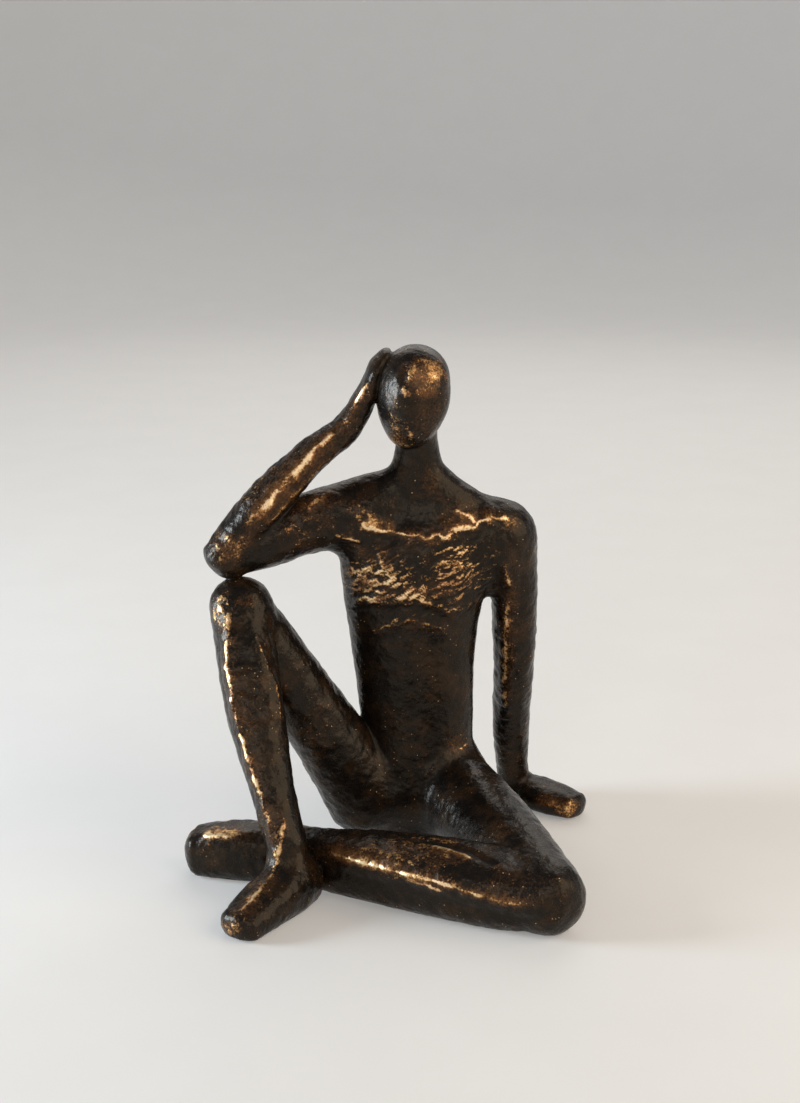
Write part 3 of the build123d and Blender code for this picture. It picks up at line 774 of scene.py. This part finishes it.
def clayMarks(fields, places):
    # unevenness of the clay, and the place of each corner along and across its own tool marks
    names = list(axes)
    nearness = np.stack([fields[name] for name in names], 1)
    weights = np.exp(-(nearness - nearness.min(1, keepdims=True)) / clay["blend"])
    weights /= weights.sum(1, keepdims=True)
    rough = sum(weights[:, i] * roughness.get(name, plainRoughness) for i, name in enumerate(names))
    size = np.array((clay["streakLength"], clay["streakWidth"], clay["streakWidth"]))
    streaks = np.zeros(len(points))
    marks = np.zeros((len(points), 3))
    for i, name in enumerate(names):
        shift = clay["apart"] * i  # so that no two limbs share their marks
        close = np.flatnonzero(weights[:, i] > clay["least"])
        dab = twoWaves(places[name][close] / size + shift, seeds["streaks"], clay["finer"])
        streaks[close] += weights[close, i] ** 2 * (soft(dab, *clay["streakEdge"]) - 0.5)
        own = weights[:, i] == weights.max(1)
        marks[own] = places[name][own] * (1 / clay["fleck"], 1, 1) + shift
    hatched, strokes, strokeMarks = hatchMarks(weights[:, names.index("torso")])
    own = hatched > hatching["least"]
    marks[own] = strokeMarks[own]
    dabs = grain(points / clay["dabSize"], seeds["dabs"]) - 0.5
    crumbs = grain(points / clay["crumbSize"], seeds["crumbs"]) - 0.5
    grit = grain(points / clay["gritSize"], seeds["grit"]) - 0.5
    lift = 2 * rough * (clay["dabs"] * dabs + clay["crumbs"] * crumbs + clay["grit"] * grit)
    bare = 1 - hatching["hides"] * hatched
    lift += bare * rough * clay["streaks"] * streaks + hatched * hatching["depth"] * strokes
    return lift, marks


def addRidge(ridge, lift, rub, wash):
    ridge = {**ridgePlain, **ridge}
    if "back" in ridge:
        spots = [onBack(spot) for spot in ridge["back"]]
    else:
        spots = [onSkin(spot) for spot in ridge["line"]]
    chosen, gap, side, run = nearLine(points[spots], max(ridge["width"]), ridge["stray"])
    width = np.where(side > 0, ridge["width"][1], ridge["width"][0])
    spread = np.where(side > 0, ridge["spread"][1], ridge["spread"][0])
    washSpread = ridgeMarks["washSpread"] * spread + ridgeMarks["washMore"]
    ends = soft(run, 0, ridgeMarks["ends"]) * (1 - soft(run, 1 - ridgeMarks["ends"], 1))
    uneven = grain(points[chosen] / ridgeMarks["unevenSize"], seeds["uneven"])
    broken = grain(points[chosen] / ridgeMarks["brokenSize"], seeds["broken"])
    broken = soft(broken, *ridgeMarks["brokenEdge"])
    near = np.clip(1 - gap / width, 0, 1)
    if ridge["swell"]:
        form = soft(near, 0, 1)
    else:
        form = ends * between(*ridgeMarks["uneven"], uneven) * near ** ridgeMarks["sharp"]
    rubbed = ridge["rub"] * ends
    lift[chosen] += ridge["height"] * form
    rub[chosen] += rubbed * between(*ridgeMarks["broken"], broken) * np.exp(-(gap / spread) ** 2)
    wash[chosen] += ridgeMarks["wash"] * rubbed * np.exp(-(gap / washSpread) ** 2)


def patchShare(pixel, half, ragged):
    # how far each corner belongs to a patch
    middle = onSkin(pixel)
    off = ragged * np.linalg.norm((pixels - pixels[middle]) / np.array(half), axis=1)
    there = soft(facing, *patchMarks["facing"]) * (np.abs(away - away[middle]) < patchMarks["depth"])
    return there * (1 - soft(off, *patchMarks["fade"]))


def sculpt():
    # how far each corner moves along its normal, how far the finish is rubbed there, and how far washed
    fields, places = limbFields(points)
    lift, marks = clayMarks(fields, places)
    behind = soft(-facing, *wear["behind"])
    least, most = wear["rubEdge"]
    patchy = soft(grain(points / wear["rubSize"], seeds["rub"]), least - wear["edgeBehind"] * behind, most)
    rub = (wear["rub"] + wear["rubBehind"] * behind) * patchy
    patchy = soft(grain(points / wear["washSize"], seeds["wash"]), *wear["washEdge"])
    wash = (wear["wash"] + wear["washBehind"] * behind) * patchy
    for ridge in ridges.values():
        addRidge(ridge, lift, rub, wash)
    ragged = between(*patchMarks["ragged"], grain(points / patchMarks["raggedSize"], seeds["ragged"]))
    # worn patches; on the knee's left side the rub is partly a painted highlight
    for pixel, half, rubbed, washed in patches.values():
        share = patchShare(pixel, half, ragged)
        rub += rubbed * share
        wash += washed * share
    return lift, rub, wash, marks, fields


def standing(times):
    # how far each corner stands out from its neighbours, near or further off
    return ((points - evened(points, edges, times)) * normals).sum(1)


def limited(value, full):
    return np.clip(value / full, -1, 1)


soleBand = 0.6  # the ground faces stay flat up to here
inset = 0.05  # the relief stays this far inside the solids' box
lift, rub, wash, marks, fields = sculpt()
lift[points[:, 2] < padTop + soleBand] = 0
points = np.clip(points + normals * lift[:, None], boxLow + inset, boxHigh - inset)
points[:, 2] = np.maximum(points[:, 2], padTop)
normals = normalsOf(points, quads)
fine, broad = standing(wear["near"]), standing(wear["further"])
crest = between(limited(broad, wear["broadCrest"]), limited(fine, wear["fineCrest"]), wear["fineShare"])
rub = rub * (wear["plainRub"] + wear["gain"] * limited(fine, wear["fineRub"]))
rub = np.clip(rub + wear["crestRub"] * np.maximum(crest, 0), 0, wear["mostRub"])
wash = np.clip(wash * (wear["plainWash"] + wear["gain"] * limited(broad, wear["broadWash"])), 0, 1)
hollow = np.clip(-crest, 0, 1)
print("sculpting:", len(ridges), "ridges,", len(patches), "rubbed patches")


def newPiece(name, corners, faces):
    mesh = bpy.data.meshes.new(name)
    mesh.from_pydata(corners, [], faces)
    mesh.shade_smooth()
    piece = bpy.data.objects.new(name, mesh)
    bpy.context.scene.collection.objects.link(piece)
    return piece


# Castings: the skin divided where one limb takes over from the next
boundEvening = 8  # times that the lines between castings are smoothed


def castingLabels():
    nodes = sorted({axis["node"] for axis in axes.values()})
    nearest = np.full((len(points), len(nodes)), far)
    neck = fields["torso"] - (points[:, 2] - neckFoot)
    for name, field in [*fields.items(), ("head", neck)]:
        column = nodes.index(axes[name]["node"])
        nearest[:, column] = np.minimum(nearest[:, column], field)
    nearest = evened(nearest, edges, boundEvening)
    return nodes, nearest[quads].mean(1).argmin(1)


def closedCasting(faces):
    # the casting's corners and faces, with each open rim closed to a point in its middle
    used = np.unique(faces)
    place = np.full(len(points), -1)
    place[used] = np.arange(len(used))
    faces = place[faces]
    sides = np.concatenate([faces[:, [i, (i + 1) % 4]] for i in range(4)])
    keys = set(map(tuple, sides))
    rim = [(a, b) for a, b in keys if (b, a) not in keys]
    group = {corner: corner for side in rim for corner in side}

    def leader(corner):
        while group[corner] != corner:
            corner = group[corner]
        return corner

    for a, b in rim:
        group[leader(a)] = leader(b)
    rims = {}
    for a, b in sorted(rim):
        rims.setdefault(leader(a), []).append((a, b))
    extra, caps = [], []
    for sides in rims.values():
        corners = sorted({corner for side in sides for corner in side})
        middle = points[used[corners]].mean(0)
        caps += [(int(b), int(a), len(used) + len(extra)) for a, b in sides]
        extra.append(middle)
    return used, np.array(extra).reshape(-1, 3), [tuple(map(int, face)) for face in faces] + caps


def stored(mesh, name, values):
    # a number or a place for each corner, which the material reads
    kind, key = ("FLOAT", "value") if values.ndim == 1 else ("FLOAT_VECTOR", "vector")
    mesh.attributes.new(name, kind, "POINT").data.foreach_set(key, values.ravel())


castingNodes, labels = castingLabels()
castings = {}
for i, node in enumerate(castingNodes):
    used, extra, faces = closedCasting(quads[labels == i])
    piece = newPiece(node + "_casting", (np.vstack([points[used], extra]) * mm).tolist(), faces)
    for name, values in (("rub", rub), ("wash", wash), ("hollow", hollow)):
        stored(piece.data, name, np.concatenate([values[used], np.zeros(len(extra))]))
    stored(piece.data, "marks", np.vstack([marks[used], extra]) * mm)
    upright = extra * 0 + (0, 0, 1)
    piece.data.normals_split_custom_set_from_vertices(np.vstack([normals[used], upright]).tolist())
    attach(piece, "root")
    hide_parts(node)
    castings[node] = piece
    print("casting", node, len(faces), "faces,", len(extra), "closed rims")


def turned(profile, count, middle=(0, 0), half=(1, 1)):
    # rings of corners round an upright axis, and the faces between them, looking outwards
    corners, faces = [], []
    for reach, height in profile:
        for step in range(count):
            turn = 2 * math.pi * step / count
            x, y = half[0] * reach * math.cos(turn), half[1] * reach * math.sin(turn)
            corners.append((middle[0] + x, middle[1] + y, height))
    for start in range(0, len(corners) - count, count):
        for step in range(count):
            after = (step + 1) % count
            faces.append((start + step, start + after, start + count + after, start + count + step))
    return corners, faces


# Felt: thin discs under the faces that the figure stands on, as shares of their half width and thickness
felt = dict(
    sides=56, profile=[(0.90, 0.0), (0.975, 0.08), (0.998, 0.35), (0.99, 0.7), (0.965, 0.92), (0.92, 1.0)])


def feltDisc(node):
    low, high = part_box(node)
    middle, half = (low + high) / 2, (high - low) / 2
    count = felt["sides"]
    profile = [(share, low.z + 2 * half.z * rise) for share, rise in felt["profile"]]
    corners, faces = turned(profile, count, middle, half)
    faces.append(tuple(reversed(range(count))))
    faces.append(tuple(range(len(corners) - count, len(corners))))
    piece = newPiece(node.replace("_pad", "_felt"), corners, faces)
    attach(piece, "root")
    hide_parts(node)
    return piece


felts = [feltDisc(node) for node in frame["nodes"] if node.endswith("_pad")]
print("felt:", len(felts), "discs")


# Materials
class Wire:
    # an output socket, so that shader maths reads as plain expressions
    def __init__(self, tree, socket=None):
        self.tree = tree
        self.socket = socket

    def node(self, kind, settings=None, values=None, out=0):
        made = self.tree.nodes.new(kind)
        for name, value in (settings or {}).items():
            setattr(made, name, value)
        for name, value in (values or {}).items():
            if isinstance(value, Wire):
                self.tree.links.new(value.socket, made.inputs[name])
            else:
                made.inputs[name].default_value = value
        return Wire(self.tree, made.outputs[out] if made.outputs else None)

    def maths(self, operation, first, second):
        return self.node("ShaderNodeMath", dict(operation=operation), {0: first, 1: second})

    def __add__(self, other):
        return self.maths("ADD", self, other)

    def __radd__(self, other):
        return self.maths("ADD", other, self)

    def __sub__(self, other):
        return self.maths("SUBTRACT", self, other)

    def __rsub__(self, other):
        return self.maths("SUBTRACT", other, self)

    def __mul__(self, other):
        return self.maths("MULTIPLY", self, other)

    def __rmul__(self, other):
        return self.maths("MULTIPLY", other, self)


def newMaterial(name):
    material = bpy.data.materials.new(name)
    material.use_nodes = True
    material.node_tree.nodes.clear()
    return material, Wire(material.node_tree)


def finished(sheet, shader):
    sheet.node("ShaderNodeOutputMaterial", values={"Surface": shader})


def noise(sheet, place, size, detail=3.0, rough=0.55):
    # noise whose waves are about this many millimetres long
    return sheet.node("ShaderNodeTexNoise", values={
        "Vector": place, "Scale": 1 / (size * mm), "Detail": detail, "Roughness": rough})


def eased(sheet, value, low, high):
    return sheet.node("ShaderNodeMapRange", dict(interpolation_type="SMOOTHSTEP"), {
        "Value": value, "From Min": low, "From Max": high})


def mixed(sheet, share, first, second):
    return sheet.node("ShaderNodeMix", dict(data_type="RGBA"), {0: share, 6: first, 7: second}, out=2)


def reading(sheet, name, out="Fac"):
    # what is stored for each corner of the mesh
    return sheet.node("ShaderNodeAttribute", dict(attribute_name=name), out=out)


def bumped(sheet, height, strength, depth):
    # normals of a relief this many millimetres deep
    return sheet.node("ShaderNodeBump", values={
        "Strength": strength, "Distance": depth * mm, "Height": height})


# Patina: colours, the sizes in mm of what varies over it, and how rough and how deep it is
patina = dict(
    dark=(0.0060, 0.0046, 0.0038, 1), brown=(0.026, 0.0135, 0.0066, 1), wash=(0.135, 0.058, 0.021, 1),
    gold=(0.62, 0.34, 0.125, 1), paleGold=(0.95, 0.72, 0.44, 1), copper=(0.46, 0.19, 0.078, 1),
    clouds=14, blotches=4.5, knobs=2.2, flecksAndGlints=1.5, crumbs=1.2, strokes=0.9, dust=0.4,
    rough=0.21, relief=0.6, shine=0.26, shineTint=(1.0, 0.86, 0.70, 1))


def patinaMaterial():
    material, sheet = newMaterial("bronze patina")
    place = sheet.node("ShaderNodeTexCoord", out="Object")
    rubbed, washed, hollowed = (reading(sheet, name) for name in ("rub", "wash", "hollow"))
    marked = reading(sheet, "marks", "Vector")
    cloudy = noise(sheet, place, patina["clouds"])
    blotchy = noise(sheet, place, patina["blotches"])
    crumbly = noise(sheet, place, patina["crumbs"], 4.0, 0.65)
    brushy = noise(sheet, marked, patina["strokes"], 4.0, 0.65)
    dusty = noise(sheet, place, patina["dust"], 2.0)
    knobby = noise(sheet, place, patina["knobs"], 1.0, 0.5)

    # what is rubbed bare, with a ragged edge, and the brown wash round it; on the knee's left side the rub is
    # partly a painted highlight
    ragged = (brushy - 0.5) * 1.3 + (crumbly - 0.5) * 1.2 + (blotchy - 0.5) * 0.4 + (dusty - 0.5) * 0.5
    brushed = rubbed + ragged
    gold = eased(sheet, brushed, 0.55, 0.98)
    wash = eased(sheet, washed * 0.8 + ragged * 0.8, 0.12, 0.90)

    # single gold flecks, which also stand in for the glints on the crumbs: painted glints
    cells = {"Vector": place, "Scale": 1 / (patina["flecksAndGlints"] * mm), "Randomness": 1.0}
    reach = sheet.node("ShaderNodeTexVoronoi", values=cells, out="Distance")
    pick = sheet.node("ShaderNodeSeparateColor", values={
        "Color": sheet.node("ShaderNodeTexVoronoi", values=cells, out="Color")})
    chosen = eased(sheet, pick + (cloudy - 0.5) * 0.8 + washed * 0.1, 0.88, 1.0)
    fleckAndGlint = chosen * (1 - eased(sheet, reach + (dusty - 0.5) * 0.3, 0.06, 0.22))

    browned = eased(sheet, cloudy + (blotchy - 0.5) * 0.6, 0.42, 0.74)
    dark = mixed(sheet, browned, patina["dark"], patina["brown"])
    dark = mixed(sheet, wash, dark, patina["wash"])
    dark = mixed(sheet, hollowed * 0.75, dark, patina["dark"])
    coppery = eased(sheet, cloudy + (dusty - 0.5) * 0.7, 0.48, 0.70)
    metal = mixed(sheet, coppery, patina["gold"], patina["copper"])
    # the strongest rub turns pale gold, and so do the flecks, which are partly painted glints
    metal = mixed(sheet, eased(sheet, brushed + fleckAndGlint * 1.4, 0.82, 1.28), metal, patina["paleGold"])
    # gold rub and flecks, the flecks partly painted glints
    leafAndGlints = sheet.maths("MINIMUM", gold + fleckAndGlint, 1.0)
    rough = patina["rough"] + crumbly * 0.14 + leafAndGlints * 0.17 + hollowed * 0.15
    height = knobby * 0.62 + blotchy * 0.2 + crumbly * 0.14 + brushy * 0.10 + leafAndGlints * 0.10
    finished(sheet, sheet.node("ShaderNodeBsdfPrincipled", values={
        "Base Color": mixed(sheet, leafAndGlints, dark, metal), "Metallic": leafAndGlints * 0.85 + wash * 0.15,
        "Roughness": rough, "Normal": bumped(sheet, height, 0.8, patina["relief"]),
        "Specular IOR Level": patina["shine"], "Specular Tint": patina["shineTint"]}))
    return material


# Pins: bright steel with fine lines from turning
pinSteel = dict(
    dark=(0.36, 0.37, 0.38, 1), bright=(0.62, 0.63, 0.64, 1),
    lines=1.5, stretch=(1.0, 1.0, 12.0), relief=0.05)


def steelMaterial():
    material, sheet = newMaterial("pin steel")
    place = sheet.node("ShaderNodeTexCoord", out="Object")
    stretched = sheet.node("ShaderNodeMapping", values={"Vector": place, "Scale": pinSteel["stretch"]})
    lines = noise(sheet, stretched, pinSteel["lines"], 4.0)
    finished(sheet, sheet.node("ShaderNodeBsdfPrincipled", values={
        "Base Color": mixed(sheet, lines, pinSteel["dark"], pinSteel["bright"]), "Metallic": 1.0,
        "Roughness": 0.25 + lines * 0.2, "Normal": bumped(sheet, lines, 0.2, pinSteel["relief"])}))
    return material


padFelt = dict(
    dark=(0.010, 0.010, 0.011, 1), pale=(0.060, 0.057, 0.055, 1), fibres=0.5, tufts=2.5, relief=0.2)


def feltMaterial():
    material, sheet = newMaterial("black felt")
    place = sheet.node("ShaderNodeTexCoord", out="Object")
    fibres = noise(sheet, place, padFelt["fibres"], 5.0, 0.7)
    tufts = noise(sheet, place, padFelt["tufts"])
    colour = mixed(sheet, fibres * 0.7 + tufts * 0.3, padFelt["dark"], padFelt["pale"])
    finished(sheet, sheet.node("ShaderNodeBsdfPrincipled", values={
        "Base Color": colour, "Roughness": 0.96, "Sheen Weight": 0.3,
        "Normal": bumped(sheet, fibres + tufts * 0.5, 0.7, padFelt["relief"])}))
    return material


def dressed(piece, material):
    piece.data.materials.clear()
    piece.data.materials.append(material)


bronze, steel, blackFelt = patinaMaterial(), steelMaterial(), feltMaterial()
for piece in castings.values():
    dressed(piece, bronze)
for piece in felts:
    dressed(piece, blackFelt)
for node, solid in frame["nodes"].items():
    if node.endswith("_pin"):
        for slot in solid.material_slots:
            slot.material = steel
print("materials: patina, steel, felt")


# Stage, in metres: a plain pale floor, soft light and the camera
stage = dict(
    floor=1.7, bend=0.9, around=128, rise=16, floorColour=(0.62, 0.60, 0.57, 1), floorRough=0.8,
    haze=(0.58, 0.56, 0.53, 1), hazeSize=0.06,
    glow=(1.0, 0.985, 0.965, 1), glowLevel=0.22, sky=(0.90, 0.93, 1.0, 1), skyLevel=0.18)

# Lamps: place, height on the figure that they point at, size, watts and colour
lamps = dict(
    window=dict(place=(-1.15, -0.06, 0.33), aim=0.14, size=(0.40, 0.60), power=19, colour=(0.72, 0.86, 1.0)),
    key=dict(place=(0.95, -0.45, 0.75), aim=0.12, size=(1.2, 1.2), power=10, colour=(1.0, 0.84, 0.64)),
    back=dict(place=(0.2, 1.2, 1.2), aim=0.12, size=(1.8, 1.2), power=11, colour=(1.0, 0.97, 0.93)),
    front=dict(place=(-0.1, -1.5, 0.8), aim=0.14, size=(1.0, 0.6), power=4, colour=(1.0, 0.93, 0.86)))


def floorMaterial():
    # pale board; the glow is only for what the camera sees straight or mirrored
    material, sheet = newMaterial("pale floor")
    place = sheet.node("ShaderNodeTexCoord", out="Object")
    hazy = noise(sheet, place, stage["hazeSize"] / mm, 2.0)
    board = sheet.node("ShaderNodeBsdfPrincipled", values={
        "Base Color": mixed(sheet, hazy, stage["floorColour"], stage["haze"]),
        "Roughness": stage["floorRough"]})
    rays = sheet.node("ShaderNodeLightPath", out="Is Camera Ray")
    for kind in ("Is Glossy Ray", "Is Transmission Ray"):
        rays = sheet.maths("MAXIMUM", rays, sheet.node("ShaderNodeLightPath", out=kind))
    glow = sheet.node("ShaderNodeEmission", values={
        "Color": stage["glow"], "Strength": rays * stage["glowLevel"]})
    finished(sheet, sheet.node("ShaderNodeAddShader", values={0: board, 1: glow}))
    return material


def addFloor():
    # a round floor whose rim bends up smoothly into a low backdrop
    profile = []
    for step in range(stage["rise"] + 1):
        turn = 0.5 * math.pi * step / stage["rise"]
        reach = stage["floor"] + stage["bend"] * math.sin(turn)
        profile.append((reach, stage["bend"] * (1 - math.cos(turn))))
    corners, faces = turned(profile, stage["around"])
    inwards = [face[::-1] for face in faces]
    floor = newPiece("floor", corners, [tuple(range(stage["around"])), *inwards])
    dressed(floor, floorMaterial())


def addLight(name, place, aim, size, power, colour):
    lamp = bpy.data.lights.new(name, "AREA")
    lamp.shape = "RECTANGLE"
    lamp.size, lamp.size_y = size
    lamp.energy = power
    lamp.color = colour
    light = bpy.data.objects.new(name, lamp)
    light.location = place
    light.visible_camera = False
    light.rotation_euler = (Vector((0, 0, aim)) - Vector(place)).to_track_quat("-Z", "Y").to_euler()
    bpy.context.scene.collection.objects.link(light)


def addCamera():
    lens = bpy.data.cameras.new("camera")
    lens.lens = camera["lens"]
    lens.sensor_width = camera["sensor"]
    eye = bpy.data.objects.new("camera", lens)
    eye.location = Vector(camera["place"]) * mm
    eye.rotation_euler = (math.radians(camera["tilt"]), 0, 0)
    bpy.context.scene.collection.objects.link(eye)
    bpy.context.scene.camera = eye


def addWorld():
    world = bpy.data.worlds.new("studio")
    world.use_nodes = True
    world.node_tree.nodes.clear()
    sky = Wire(world.node_tree)
    light = sky.node("ShaderNodeBackground", values={"Color": stage["sky"], "Strength": stage["skyLevel"]})
    sky.node("ShaderNodeOutputWorld", values={"Surface": light})
    bpy.context.scene.world = world


addFloor()
for name, lamp in lamps.items():
    addLight(name, **lamp)
addCamera()
addWorld()
bpy.context.scene.view_settings.view_transform = "Standard"

print("scene ready")
